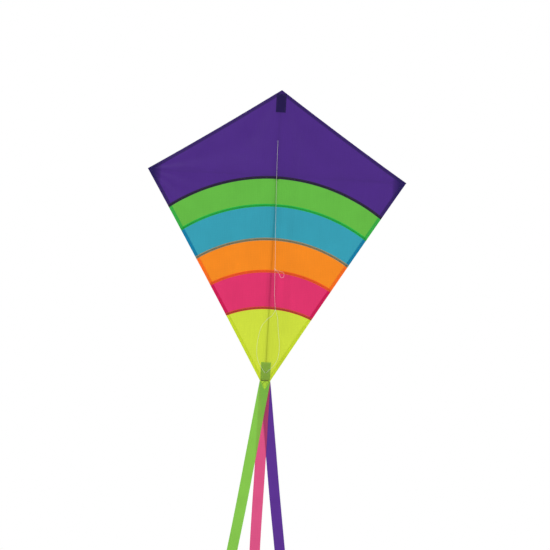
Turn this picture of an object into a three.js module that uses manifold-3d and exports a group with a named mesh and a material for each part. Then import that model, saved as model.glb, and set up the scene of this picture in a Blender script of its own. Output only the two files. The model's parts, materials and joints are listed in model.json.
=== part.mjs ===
// A diamond kite: a six-band rainbow sail on a spine and two spreaders that fold back from a soft
// cross connector, with a cord bridle in front and three ribbon tails.
// Millimetres, +Z up. The sail's front faces -Y and the frame is behind it, on +Y.
// The origin is the centre of the cross connector's flat back face.
// "Drop" is the distance down the spine from the nose, and "across" is the distance from the spine.
import * as THREE from 'three';
import { mergeVertices } from 'three/addons/utils/BufferGeometryUtils.js';
import { ConvexGeometry } from 'three/addons/geometries/ConvexGeometry.js';
import Module from 'manifold-3d';

const wasm = await Module();
wasm.setup();

// ---- Driving dimensions ----
const HALF_SPAN = 381; // from the spine to a wing tip, measured along the flat cloth
const HEIGHT = 872; // from the nose to the tail point
const CROSS_DROP = 248; // from the nose down to the spreaders
const DIHEDRAL = THREE.MathUtils.degToRad(7); // each wing's sweep back from the sail's centre
const HINGE_X = 16; // from the spine to the line where a wing folds
const CLOTH = 0.4; // sail and ribbon thickness
const GAP = 0.3; // left between pieces that touch
const SPAR_Y = -5.5; // the spine's and spreaders' axes, in front of the connector's back face
const SAIL_BACK_Y = -10; // the back face of the sail's centre
const SPAR_OFFSET = SPAR_Y - SAIL_BACK_Y; // from the cloth's back face to a spar's axis

const SPINE_R = 2;
const SPREADER_R = 1.75;
const SPINE_TOP_DROP = 21;
const SPINE_END_DROP = 837;
const CONNECTOR = { width: 14, depth: 9.6, height: 26, corner: 3 };
const ARM = { start: 1.5, length: 26, r: 3.6, wall: 6 };
const SPREADER_END = 349; // from the fold line to the spreader's outer end
const CAP_WALL = 1.5;

const SPINE_CAP = { wall: 1.1, length: 10 };
const SPREADER_CAP = { wall: 1, length: 10 };
const NECK = { root: 5, waist: 1.2, tip: 2.6, thickness: 2.4 }; // half heights, then depth

const POCKET = { width: 29, arch: 4.2, cloth: 0.5, foot: 5.6 };
const NOSE_POCKET = { top: 11, length: 54 };
const TAIL_POCKET = { top: 793, length: 52 };
const TIP_POCKET = { inner: 329, ridge: 355, outer: 361, up: 21, down: 40, height: 8.3 };
const TIP_RIDGE = { mouth: 3.2, end: 2 }; // half the height of the tip pocket's flat ridge

// The sail's seams are arcs about points on the kite's centre line.
// Each has the drop of its centre and its radius, as seen from the front.
const SEAMS = [
  { centre: 790, r: 531 },
  { centre: 813, r: 473 },
  { centre: 838, r: 399.5 },
  { centre: 876, r: 344 },
  { centre: 943, r: 304.5 },
];
const BANDS = ['purple', 'green', 'blue', 'orange', 'pink', 'yellow'];
const SEAM_STRETCH = 1 / Math.cos(DIHEDRAL); // widens an arc to its shape on the flat cloth

const TAIL = { width: 31, length: 1000, start: 2.5 };
const LEFT_FAN = THREE.MathUtils.degToRad(7.5); // how far the side ribbons lean outwards
const RIGHT_FAN = THREE.MathUtils.degToRad(8.1);
const TAIL_SEW_DROP = 847; // the sewn line that the three ribbons fan out from
const TAIL_PITCH = CLOTH + GAP; // from one ribbon's front face to the next one's

const CORD_R = 0.4;
const CORD_STEP = 16; // along a leg of the bridle, between the sections of its solid
const TOW_LOOP_STEP = 4;
const CORD_OFFSET = -1.7; // the bridle's axis, in front of the cloth's back face
const HITCH = { across: 3, hole: 1.1, stub: 0.5, ring: 3.3, height: 2, reach: 2.2 };
const TOP_HITCH_DROP = 147;
const TAIL_HITCH_DROP = 824;
const KNOT = { r: 1.5, flat: 0.55, tall: 1.25 }; // a ball's radius, and its scale in Y and Z

const material = (color, roughness) => new THREE.MeshStandardMaterial({
  color, roughness, metalness: 0, side: THREE.DoubleSide,
});
const CLOTHS = {
  purple: material('#4d2d83', 0.6),
  green: material('#6bbe46', 0.6),
  blue: material('#379eb7', 0.6),
  orange: material('#f68b1e', 0.6),
  pink: material('#e0356c', 0.6),
  yellow: material('#cddd3e', 0.6),
};
const rodFinish = material('#1c1c20', 0.45);
const vinyl = material('#222226', 0.55);
const webbing = material('#27144f', 0.7);
const pocketCloth = material('#3f9a3c', 0.7);
const cordFinish = material('#f2f0ea', 0.8);

const height = (drop) => CROSS_DROP - drop;

const kite = new THREE.Group();
const centre = new THREE.Group();
centre.position.y = SAIL_BACK_Y;
kite.add(centre);

function addPiece(group, name, geometry, finish) {
  const mesh = new THREE.Mesh(geometry, finish);
  mesh.name = name;
  group.add(mesh);
  return mesh;
}

// ---- Solids ----
function toSolid(geometry) {
  const plain = geometry.clone();
  plain.deleteAttribute('normal');
  plain.deleteAttribute('uv');
  const merged = mergeVertices(plain, 1e-4);
  return new wasm.Manifold(new wasm.Mesh({
    numProp: 3,
    vertProperties: new Float32Array(merged.attributes.position.array),
    triVerts: new Uint32Array(merged.index.array),
  }));
}

function toGeometry(solid) {
  const mesh = solid.getMesh();
  const geometry = new THREE.BufferGeometry();
  geometry.setAttribute('position', new THREE.BufferAttribute(mesh.vertProperties, 3));
  geometry.setIndex(new THREE.BufferAttribute(mesh.triVerts, 1));
  return geometry;
}

function join(...geometries) {
  return toGeometry(geometries.map(toSolid).reduce((whole, piece) => whole.add(piece)));
}

// A flat sheet cut to an outline drawn in X and Z. Its back face is at the given depth.
function sheet(outline, back = 0, thickness = CLOTH) {
  const geometry = new THREE.ExtrudeGeometry(outline, { depth: thickness, bevelEnabled: false });
  return geometry.rotateX(Math.PI / 2).translate(0, back, 0);
}

// A bar of constant section, drawn in X and Y, standing from one height to another.
function standingBar(outline, low, high, segments = 6) {
  const options = { depth: high - low, bevelEnabled: false, curveSegments: segments };
  return new THREE.ExtrudeGeometry(outline, options).translate(0, 0, low);
}

function rodAlongX(r, from, to, side) {
  const rod = new THREE.CylinderGeometry(r, r, to - from, 16);
  return rod.rotateZ(Math.PI / 2).translate(side * (from + to) / 2, 0, 0);
}

// A cup turned about +Y, closed at the origin and open at its length.
function cup(r, bore, length, wall, lip = 0.4) {
  const profile = [
    [0, 0], [r - lip, 0], [r, lip], [r, length - lip], [r - lip, length], [bore, length],
    [bore, wall], [0, wall],
  ];
  return new THREE.LatheGeometry(profile.map(([x, y]) => new THREE.Vector2(x, y)), 16);
}

function cord(points, pitch) {
  const path = new THREE.CatmullRomCurve3(points, false, 'centripetal');
  const section = new THREE.Shape().absarc(0, 0, CORD_R, 0, 2 * Math.PI);
  const steps = Math.round(path.getLength() / pitch);
  const options = { steps, bevelEnabled: false, extrudePath: path, curveSegments: 4 };
  return new THREE.ExtrudeGeometry(section, options);
}

function knot(across, drop) {
  const ball = new THREE.SphereGeometry(KNOT.r, 12, 8).scale(1, KNOT.flat, KNOT.tall);
  return ball.translate(across, CORD_OFFSET, height(drop));
}

// ---- Sail ----
// How far across the cloth a seam reaches before it runs out through the trailing edge.
function seamReach(seam, r) {
  const tail = height(HEIGHT);
  const slope = -tail * SEAM_STRETCH / HALF_SPAN;
  const below = tail - height(seam.centre);
  const a = 1 + slope ** 2;
  const b = slope * below;
  const c = below ** 2 - r ** 2;
  return SEAM_STRETCH * (-b + Math.sqrt(b ** 2 - a * c)) / a;
}

function seamPoint(seam, r, across) {
  const seen = across / SEAM_STRETCH;
  return new THREE.Vector2(across, height(seam.centre) + Math.sqrt(r ** 2 - seen ** 2));
}

function seamPoints(seam, r, from, to, steps) {
  return Array.from({ length: steps + 1 }, (_, i) => seamPoint(seam, r, from + (to - from) * i / steps));
}

const leadingHeight = (across) => CROSS_DROP * (1 - across / HALF_SPAN);
const trailingHeight = (across) => height(HEIGHT) * (1 - across / HALF_SPAN);

// One band of a wing's cloth, between the seams above and below it.
function wingBand(index, side) {
  const steps = 12;
  const inner = HINGE_X + GAP / 2;
  const above = SEAMS[index - 1];
  const below = SEAMS[index];
  const points = [];
  if (above) {
    const r = above.r - GAP / 2;
    points.push(...seamPoints(above, r, inner, seamReach(above, r), steps));
  } else {
    points.push(new THREE.Vector2(inner, leadingHeight(inner)));
    points.push(new THREE.Vector2(HALF_SPAN, 0));
  }
  if (below) {
    const r = below.r + GAP / 2;
    points.push(...seamPoints(below, r, seamReach(below, r), inner, steps));
  } else {
    points.push(new THREE.Vector2(inner, trailingHeight(inner)));
  }
  return sheet(new THREE.Shape(points.map((p) => new THREE.Vector2(side * (p.x - HINGE_X), p.y))));
}

function roundHole(across, drop) {
  return new THREE.Path().absarc(across, height(drop), HITCH.hole, 0, 2 * Math.PI);
}

// One band of the strip of cloth in front of the spine, between the two fold lines.
function centreBand(index) {
  const steps = 4;
  const edge = HINGE_X - GAP / 2;
  const above = SEAMS[index - 1];
  const below = SEAMS[index];
  const points = [];
  if (above) {
    points.push(...seamPoints(above, above.r - GAP / 2, -edge, edge, steps));
  } else {
    points.push(new THREE.Vector2(-edge, leadingHeight(edge)));
    points.push(new THREE.Vector2(0, CROSS_DROP));
    points.push(new THREE.Vector2(edge, leadingHeight(edge)));
  }
  if (below) {
    points.push(...seamPoints(below, below.r + GAP / 2, edge, -edge, steps));
  } else {
    points.push(new THREE.Vector2(edge, trailingHeight(edge)));
    points.push(new THREE.Vector2(0, height(HEIGHT)));
    points.push(new THREE.Vector2(-edge, trailingHeight(edge)));
  }
  const outline = new THREE.Shape(points);
  if (!above) outline.holes.push(roundHole(-HITCH.across, TOP_HITCH_DROP));
  if (!below) {
    outline.holes.push(roundHole(-HITCH.across, TAIL_HITCH_DROP));
    outline.holes.push(roundHole(HITCH.across, TAIL_HITCH_DROP));
  }
  return sheet(outline);
}

// ---- Pockets ----
// The section of a pocket: two flat flanges on the sail and an arch over the spine.
function pocketSection() {
  const { width, arch, cloth, foot } = POCKET;
  const outline = new THREE.Shape();
  outline.moveTo(-width / 2, GAP);
  outline.lineTo(-foot, GAP);
  outline.lineTo(-arch, SPAR_OFFSET);
  outline.absarc(0, SPAR_OFFSET, arch, Math.PI, 0, true);
  outline.lineTo(foot, GAP);
  outline.lineTo(width / 2, GAP);
  outline.lineTo(width / 2, GAP + cloth);
  outline.lineTo(foot + cloth, GAP + cloth);
  outline.lineTo(arch + cloth, SPAR_OFFSET);
  outline.absarc(0, SPAR_OFFSET, arch + cloth, 0, Math.PI, false);
  outline.lineTo(-foot - cloth, GAP + cloth);
  outline.lineTo(-width / 2, GAP + cloth);
  return outline;
}

function pocketEnd() {
  const { arch, cloth, foot } = POCKET;
  const outline = new THREE.Shape();
  outline.moveTo(-foot - cloth, GAP);
  outline.lineTo(foot + cloth, GAP);
  outline.lineTo(arch + cloth, SPAR_OFFSET);
  outline.absarc(0, SPAR_OFFSET, arch + cloth, 0, Math.PI, false);
  return outline;
}

function spinePocket({ top, length }, closedAtTop) {
  const high = height(top);
  const low = height(top + length);
  const wall = POCKET.cloth;
  const [from, to] = closedAtTop ? [high - wall, high] : [low, low + wall];
  return join(standingBar(pocketSection(), low, high, 8), standingBar(pocketEnd(), from, to, 8));
}

// A tent of cloth over the spreader's outer end, sewn to the sail in the corner of the wing.
function tipPocket(side) {
  const { inner, ridge, outer, up, down, height: rise } = TIP_POCKET;
  const wall = POCKET.cloth;
  const { mouth, end } = TIP_RIDGE;
  const tent = (from, to, peak, top, bottom, roof, base) => new ConvexGeometry([
    [from, base, top], [from, base, -bottom], [to, base, 1],
    [from, roof, mouth], [from, roof, -mouth], [peak, roof, end], [peak, roof, -end],
  ].map(([x, y, z]) => new THREE.Vector3(side * x, y, z)));
  const outside = tent(inner, outer, ridge, up, down, rise, GAP);
  const inside = tent(inner - 1, outer - 2, ridge - wall, up - 1.4, down - 1.8, rise - wall, GAP - 1);
  return toGeometry(toSolid(outside).subtract(toSolid(inside)));
}

// ---- Frame ----
function connector() {
  const { width, depth, height: tall, corner } = CONNECTOR;
  const left = -width / 2;
  const right = width / 2;
  const outline = new THREE.Shape();
  outline.moveTo(left, 0);
  outline.lineTo(left, corner - depth);
  outline.absarc(left + corner, corner - depth, corner, Math.PI, 1.5 * Math.PI, false);
  outline.absarc(right - corner, corner - depth, corner, 1.5 * Math.PI, 2 * Math.PI, false);
  outline.lineTo(right, 0);
  outline.holes.push(new THREE.Path().absarc(0, SPAR_Y, SPINE_R + GAP, 0, 2 * Math.PI));
  return standingBar(outline, -tall / 2, tall / 2);
}

// The thin waisted web of soft vinyl that lets an arm bend back from the connector.
function neck(side) {
  const from = CONNECTOR.width / 2 + GAP;
  const to = HINGE_X;
  const middle = (from + to) / 2;
  const { root, waist, tip, thickness } = NECK;
  const outline = new THREE.Shape();
  outline.moveTo(side * from, -root);
  outline.quadraticCurveTo(side * middle, -waist, side * to, -tip);
  outline.lineTo(side * to, tip);
  outline.quadraticCurveTo(side * middle, waist, side * from, root);
  return sheet(outline, SPAR_Y + thickness / 2, thickness);
}

function buildFrame() {
  const spineLow = height(SPINE_END_DROP);
  const spineHigh = height(SPINE_TOP_DROP);
  const spine = new THREE.CylinderGeometry(SPINE_R, SPINE_R, spineHigh - spineLow, 16);
  spine.rotateX(Math.PI / 2).translate(0, SPAR_Y, (spineLow + spineHigh) / 2);
  addPiece(kite, 'spine', spine, rodFinish);

  const capShape = () => cup(SPINE_R + SPINE_CAP.wall, SPINE_R + GAP, SPINE_CAP.length, CAP_WALL);
  const noseCap = capShape().rotateX(-Math.PI / 2);
  noseCap.translate(0, SPAR_Y, spineHigh + GAP + CAP_WALL);
  addPiece(kite, 'spine_nose_cap', noseCap, vinyl);
  const tailCap = capShape().rotateX(Math.PI / 2);
  tailCap.translate(0, SPAR_Y, spineLow - GAP - CAP_WALL);
  addPiece(kite, 'spine_tail_cap', tailCap, vinyl);

  addPiece(kite, 'cross_connector', connector(), vinyl);
  addPiece(kite, 'left_neck', neck(-1), vinyl);
  addPiece(kite, 'right_neck', neck(1), vinyl);
}

// ---- Wings ----
function buildWing(name, side) {
  const wing = new THREE.Group();
  wing.position.set(side * HINGE_X, SAIL_BACK_Y, 0);
  wing.rotation.z = side * DIHEDRAL;
  kite.add(wing);
  BANDS.forEach((band, index) => {
    addPiece(wing, `${name}_${band}_panel`, wingBand(index, side), CLOTHS[band]);
  });

  const arm = cup(ARM.r, SPREADER_R + GAP, ARM.length, ARM.wall);
  arm.rotateZ(-side * Math.PI / 2).translate(side * ARM.start, SPAR_OFFSET, 0);
  addPiece(wing, `${name}_connector_arm`, arm, vinyl);

  const rodStart = ARM.start + ARM.wall + GAP;
  const rod = rodAlongX(SPREADER_R, rodStart, SPREADER_END, side).translate(0, SPAR_OFFSET, 0);
  addPiece(wing, `${name}_spreader`, rod, rodFinish);

  const cap = cup(SPREADER_R + SPREADER_CAP.wall, SPREADER_R + GAP, SPREADER_CAP.length, CAP_WALL);
  cap.rotateZ(side * Math.PI / 2);
  cap.translate(side * (SPREADER_END + GAP + CAP_WALL), SPAR_OFFSET, 0);
  addPiece(wing, `${name}_spreader_cap`, cap, vinyl);
  addPiece(wing, `${name}_tip_pocket`, tipPocket(side), webbing);
}

// ---- Bridle ----
// A turn of cord round the spine, with ends that come forward through holes in the sail.
function hitch(drop, sides) {
  const { across, stub, ring, height: tall, reach } = HITCH;
  const round = 0.4;
  const bore = SPINE_R + GAP;
  const profile = [
    [bore, -tall / 2], [ring - round, -tall / 2], [ring, round - tall / 2], [ring, tall / 2 - round],
    [ring - round, tall / 2], [bore, tall / 2], [bore, -tall / 2],
  ].map(([x, y]) => new THREE.Vector2(x, y));
  const turn = new THREE.LatheGeometry(profile, 16).rotateX(Math.PI / 2);
  const length = SPAR_OFFSET + reach;
  const ends = sides.map((side) => {
    const end = new THREE.CylinderGeometry(stub, stub, length, 8);
    return end.translate(side * across, -length / 2, 0);
  });
  return join(turn, ...ends).translate(0, SPAR_OFFSET, height(drop));
}

function bridlePoint([across, drop]) {
  return new THREE.Vector3(across, CORD_OFFSET, height(drop));
}

function buildBridle() {
  const towDrop = 521;
  const loopDrop = 640;
  const tow = [10, towDrop];
  const loop = [18.5, loopDrop];
  const clear = KNOT.tall * KNOT.r + GAP; // from a knot's centre to a cord above or below it
  const routes = {
    bridle_upper_leg: [
      [-HITCH.across, TOP_HITCH_DROP + HITCH.stub + GAP], [-1.5, 230], [1.5, 320], [5.5, 420],
      [tow[0] - 0.1, towDrop - clear],
    ],
    bridle_lower_leg: [
      [tow[0] + 0.1, towDrop + clear], [11, 550], [12.5, 588], [15, 615],
      [loop[0] - 0.7, loopDrop - clear - 0.2],
    ],
    bridle_loop_right: [
      [loop[0] + 1.2, loopDrop + clear], [25, 660], [30, 700], [35, 735], [35.5, 762], [30, 788],
      [19, 806], [8, 817], [HITCH.across, TAIL_HITCH_DROP - HITCH.stub - GAP],
    ],
    bridle_loop_left: [
      [loop[0] - 1.4, loopDrop + clear], [9, 656], [-6, 670], [-19, 689], [-27, 722], [-29.3, 757],
      [-25.5, 785], [-15, 806], [-7, 817], [-HITCH.across, TAIL_HITCH_DROP - HITCH.stub - GAP],
    ],
  };
  for (const [name, route] of Object.entries(routes)) {
    addPiece(centre, name, cord(route.map(bridlePoint), CORD_STEP), cordFinish);
  }
  addPiece(centre, 'tow_knot', knot(...tow), cordFinish);
  addPiece(centre, 'loop_knot', knot(...loop), cordFinish);
  addPiece(centre, 'bridle_top_hitch', hitch(TOP_HITCH_DROP, [-1]), cordFinish);
  addPiece(centre, 'bridle_tail_hitch', hitch(TAIL_HITCH_DROP, [-1, 1]), cordFinish);

  const towLoop = [
    [12.4, 522.6], [17, 524.8], [23, 526.6], [29.5, 527.2], [34.8, 530], [37.2, 535.5], [36.2, 541.5],
    [31.8, 545], [27.3, 543.2], [24.6, 537.5], [21.5, 531.5], [16.8, 527.6], [12.2, 525],
  ];
  addPiece(centre, 'tow_loop', cord(towLoop.map(bridlePoint), TOW_LOOP_STEP), cordFinish);
}

// ---- Tails ----
// The ribbons' sewn tops, stacked behind the tail point. Below the sewn line the stack spreads as
// the three ribbons fan apart.
function tailTab() {
  const top = height(TAIL_POCKET.top + TAIL_POCKET.length + GAP);
  const low = height(HEIGHT - GAP);
  const flare = (height(TAIL_SEW_DROP) - low) * Math.tan(RIGHT_FAN);
  const half = POCKET.width / 2;
  const points = [[-half, top], [half, top], [half + flare, low], [-half - flare, low]];
  const outline = new THREE.Shape(points.map(([x, y]) => new THREE.Vector2(x, y)));
  const thickness = 2 * TAIL_PITCH + CLOTH;
  return sheet(outline, GAP + thickness, thickness);
}

// A ribbon that hangs from the level of the tail point, turned sideways by an angle. Order 0 is
// the front ribbon.
function ribbon(angle, order) {
  const sew = height(TAIL_SEW_DROP);
  const top = height(HEIGHT) - TAIL.start;
  const half = TAIL.width / 2;
  const along = new THREE.Vector2(Math.sin(angle), -Math.cos(angle));
  const right = new THREE.Vector2(Math.cos(angle), Math.sin(angle));
  const topCentre = (sew - top) * Math.tan(angle);
  const end = new THREE.Vector2(0, sew).addScaledVector(along, HEIGHT - TAIL_SEW_DROP + TAIL.length);
  const outline = new THREE.Shape([
    new THREE.Vector2(topCentre - half / Math.cos(angle), top),
    end.clone().addScaledVector(right, -half),
    end.clone().addScaledVector(right, half),
    new THREE.Vector2(topCentre + half / Math.cos(angle), top),
  ]);
  return sheet(outline, GAP + CLOTH + order * TAIL_PITCH);
}

function buildSail() {
  BANDS.forEach((band, index) => {
    addPiece(centre, `centre_${band}_panel`, centreBand(index), CLOTHS[band]);
  });
  addPiece(centre, 'nose_pocket', spinePocket(NOSE_POCKET, true), webbing);
  addPiece(centre, 'tail_pocket', spinePocket(TAIL_POCKET, false), pocketCloth);
  addPiece(centre, 'tail_tab', tailTab(), CLOTHS.green);
  addPiece(centre, 'green_tail', ribbon(-LEFT_FAN, 0), CLOTHS.green);
  addPiece(centre, 'pink_tail', ribbon(0, 1), CLOTHS.pink);
  addPiece(centre, 'purple_tail', ribbon(RIGHT_FAN, 2), CLOTHS.purple);
}

buildSail();
buildFrame();
buildWing('left', -1);
buildWing('right', 1);
buildBridle();

export default kite;
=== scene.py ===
"""A rainbow diamond kite, hung up by its frame, with a bridle and three ribbon tails.

Lengths are in metres and the frame is the CAD model's: +Z up the spine, and the sail's front
faces -Y. "Across" is the distance from the spine along the flat cloth, and "lift" is a distance
forward from the cloth. The cut attribute of a cloth is its place on the flat pattern, in mm.
"""
import json
import math

import bmesh
import bpy
import numpy as np
from mathutils import Matrix, Vector, noise


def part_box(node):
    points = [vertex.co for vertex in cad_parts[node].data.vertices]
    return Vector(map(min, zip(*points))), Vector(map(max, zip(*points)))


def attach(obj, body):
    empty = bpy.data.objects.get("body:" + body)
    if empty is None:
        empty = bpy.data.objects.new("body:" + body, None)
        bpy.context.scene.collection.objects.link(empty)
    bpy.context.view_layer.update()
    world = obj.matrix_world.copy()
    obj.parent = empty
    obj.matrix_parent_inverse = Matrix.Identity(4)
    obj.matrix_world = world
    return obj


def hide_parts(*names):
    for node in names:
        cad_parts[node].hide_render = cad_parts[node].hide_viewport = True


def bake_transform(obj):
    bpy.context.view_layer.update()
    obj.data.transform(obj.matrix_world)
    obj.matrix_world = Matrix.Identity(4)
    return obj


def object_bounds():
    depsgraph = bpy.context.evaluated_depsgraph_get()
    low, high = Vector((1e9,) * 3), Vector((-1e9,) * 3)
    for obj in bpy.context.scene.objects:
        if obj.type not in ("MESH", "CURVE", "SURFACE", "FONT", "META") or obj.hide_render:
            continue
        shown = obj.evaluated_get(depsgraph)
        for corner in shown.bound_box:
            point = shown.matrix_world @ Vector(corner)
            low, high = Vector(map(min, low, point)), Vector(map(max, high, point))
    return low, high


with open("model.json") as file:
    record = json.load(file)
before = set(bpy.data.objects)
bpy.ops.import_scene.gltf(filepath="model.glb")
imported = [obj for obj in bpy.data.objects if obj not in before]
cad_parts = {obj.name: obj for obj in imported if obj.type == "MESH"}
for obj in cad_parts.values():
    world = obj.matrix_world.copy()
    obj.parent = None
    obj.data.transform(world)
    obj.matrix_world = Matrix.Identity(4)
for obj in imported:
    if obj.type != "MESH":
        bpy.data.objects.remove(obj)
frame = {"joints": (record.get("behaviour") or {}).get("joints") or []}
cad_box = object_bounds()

MM = 0.001
BANDS = ("purple", "green", "blue", "orange", "pink", "yellow")
SIDES = {"left": -1, "right": 1}

# ---- Sizes read from the frame ----
JOINTS = {joint["name"]: joint for joint in frame["joints"]}
HINGE_X, SAIL_Y = JOINTS["right_wing_fold"]["pos_m"][:2]
TAIL_AXIS = Vector(JOINTS["tails_swing"]["pos_m"])
NOSE_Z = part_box("centre_purple_panel")[1].z
TAIL_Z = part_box("centre_yellow_panel")[0].z
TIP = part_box("right_purple_panel")[1]
DIHEDRAL = math.atan2(TIP.y - SAIL_Y, TIP.x - HINGE_X)
HALF_SPAN = HINGE_X + math.hypot(TIP.x - HINGE_X, TIP.y - SAIL_Y)
SPINE_LOW, SPINE_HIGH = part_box("spine")
SPAR_Y = (SPINE_LOW.y + SPINE_HIGH.y) / 2
SPAR_DEPTH = SPAR_Y - SAIL_Y
SPINE_R = (SPINE_HIGH.x - SPINE_LOW.x) / 2
CLOTH_Y = SAIL_Y - 0.2 * MM

# The seams, seen from the front, are arcs about points on the kite's centre line: each arc's
# centre, as a distance down from the nose, and its radius.
SEAMS = ((0.790, 0.531), (0.813, 0.473), (0.838, 0.3995), (0.876, 0.344), (0.943, 0.3045))
SEAM_STRETCH = 1 / math.cos(DIHEDRAL)  # across the cloth, for each distance seen from the front
OVERLAP = 8 * MM
SEWN_ROW = 3.2 * MM  # from a seam's lower edge to the middle of its sewing
HEM = 10 * MM
EDGE_HOLLOW = 2.2 * MM
FOLD_SOFT = 2.5 * MM  # how gently the cloth bends at the fold when it is at rest
TIP_POCKET_IN = HINGE_X + (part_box("right_tip_pocket")[0].x - HINGE_X) * SEAM_STRETCH
POCKET_THICK = 0.45 * MM
POCKET_STITCH = (3.4 * MM, 0.9 * MM)  # pitch and gap
PACKING_FOLDS = (-48 * MM, -12 * MM, 20 * MM, 58 * MM)  # across the sail, where it was folded flat
LEADING_IN = Vector((-NOSE_Z, -HALF_SPAN)).normalized()  # square to the leading edge, into the cloth
TRAILING_IN = Vector((TAIL_Z, HALF_SPAN)).normalized()


def drop(distance):
    """The height of a point a distance down from the nose."""
    return NOSE_Z - distance


def linear(hex_colour):
    """An sRGB colour as linear red, green, blue and alpha."""
    values = [int(hex_colour[i:i + 2], 16) / 255 for i in (1, 3, 5)]
    return [v / 12.92 if v <= 0.04045 else ((v + 0.055) / 1.055) ** 2.4 for v in values] + [1.0]


def shaded(colour, factor, added=0.0):
    return [min(1.0, c * factor + added) for c in colour[:3]] + [1.0]


TAIL_SEW_Z = drop(0.847)  # the line across the tail point where the ribbons' tops are sewn

# ---- Camera ----
VIEW_WIDTH = 1.599
LENS = 200.0
SENSOR = 36.0
VIEW_CENTRE = Vector((0.011, SAIL_Y, drop(0.538)))
LEAN = math.radians(3.35)


def add_object(name, data):
    made = bpy.data.objects.new(name, data)
    bpy.context.scene.collection.objects.link(made)
    return made


def make_camera():
    data = bpy.data.cameras.new("camera")
    data.lens = LENS
    data.sensor_width = SENSOR
    data.clip_end = 100
    camera = add_object("camera", data)
    distance = VIEW_WIDTH * LENS / SENSOR
    look = Matrix.Rotation(math.pi / 2, 4, "X")
    roll = Matrix.Rotation(-LEAN, 4, "Y")
    camera.matrix_world = Matrix.Translation(VIEW_CENTRE - Vector((0, distance, 0))) @ roll @ look
    bpy.context.scene.camera = camera


# ---- Mesh and node helpers ----
def add_mesh(name, points, faces, material, cut=None, smooth=True):
    """A mesh object. Cut gives each point's place on the flat pattern, in metres."""
    mesh = bpy.data.meshes.new(name)
    mesh.from_pydata([tuple(p) for p in points], [], [tuple(f) for f in faces])
    mesh.materials.append(material)
    if cut is not None:
        flat = np.zeros((len(points), 3), np.float32)
        flat[:, :2] = np.asarray(cut)[:, :2] / MM
        layer = mesh.attributes.new("cut", "FLOAT_VECTOR", "POINT")
        layer.data.foreach_set("vector", flat.ravel())
    mesh.polygons.foreach_set("use_smooth", [smooth] * len(mesh.polygons))
    mesh.update()
    return add_object(name, mesh)


def grid_faces(rows, columns, closed=False):
    """The quads of a grid of points. A closed grid joins its last column to its first."""
    faces = []
    for i in range(rows - 1):
        for j in range(columns if closed else columns - 1):
            k = (j + 1) % columns
            faces.append((i * columns + j, (i + 1) * columns + j, (i + 1) * columns + k, i * columns + k))
    return faces


def merge_close(piece, distance=0.02 * MM):
    work = bmesh.new()
    work.from_mesh(piece.data)
    bmesh.ops.remove_doubles(work, verts=work.verts, dist=distance)
    work.to_mesh(piece.data)
    work.free()


def prism(name, outline, front, back, edge, segments, angle):
    """A vinyl plate: an outline of (x, z) places, between two places along Y, with rolled edges
    wherever two faces meet more sharply than an angle in degrees."""
    points = [(x, y, z) for y in (front, back) for x, z in outline]
    count = len(outline)
    faces = [tuple(range(count)), tuple(range(2 * count - 1, count - 1, -1))]
    faces += [(k, k + count, (k + 1) % count + count, (k + 1) % count) for k in range(count)]
    plate = add_mesh(name, points, faces, VINYL, smooth=False)
    soften = plate.modifiers.new("rounding", "BEVEL")
    soften.width = edge
    soften.segments = segments
    soften.limit_method = "ANGLE"
    soften.angle_limit = math.radians(angle)
    return plate


def rigid(piece, body, slot, *nodes):
    """A piece that moves with one body, and the nodes that it replaces. Its slot is not used."""
    if nodes:
        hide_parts(*nodes)
    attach(piece, body)


def lathe(name, profile, start, direction, material, sides=32):
    """A turned piece. The profile is (distance along, radius) pairs from start."""
    axis = Vector(direction).normalized()
    turn = axis.to_track_quat("Z", "Y").to_matrix()
    points = []
    for along, radius in profile:
        for k in range(sides):
            angle = 2 * math.pi * k / sides
            local = Vector((radius * math.cos(angle), radius * math.sin(angle), along))
            points.append(Vector(start) + turn @ local)
    faces = grid_faces(len(profile), sides, closed=True)
    piece = add_mesh(name, points, faces, material)
    merge_close(piece, 0.001 * MM)
    return piece


def smoothstep(low, high, values):
    t = np.clip((values - low) / (high - low), 0, 1)
    return t * t * (3 - 2 * t)


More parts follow.
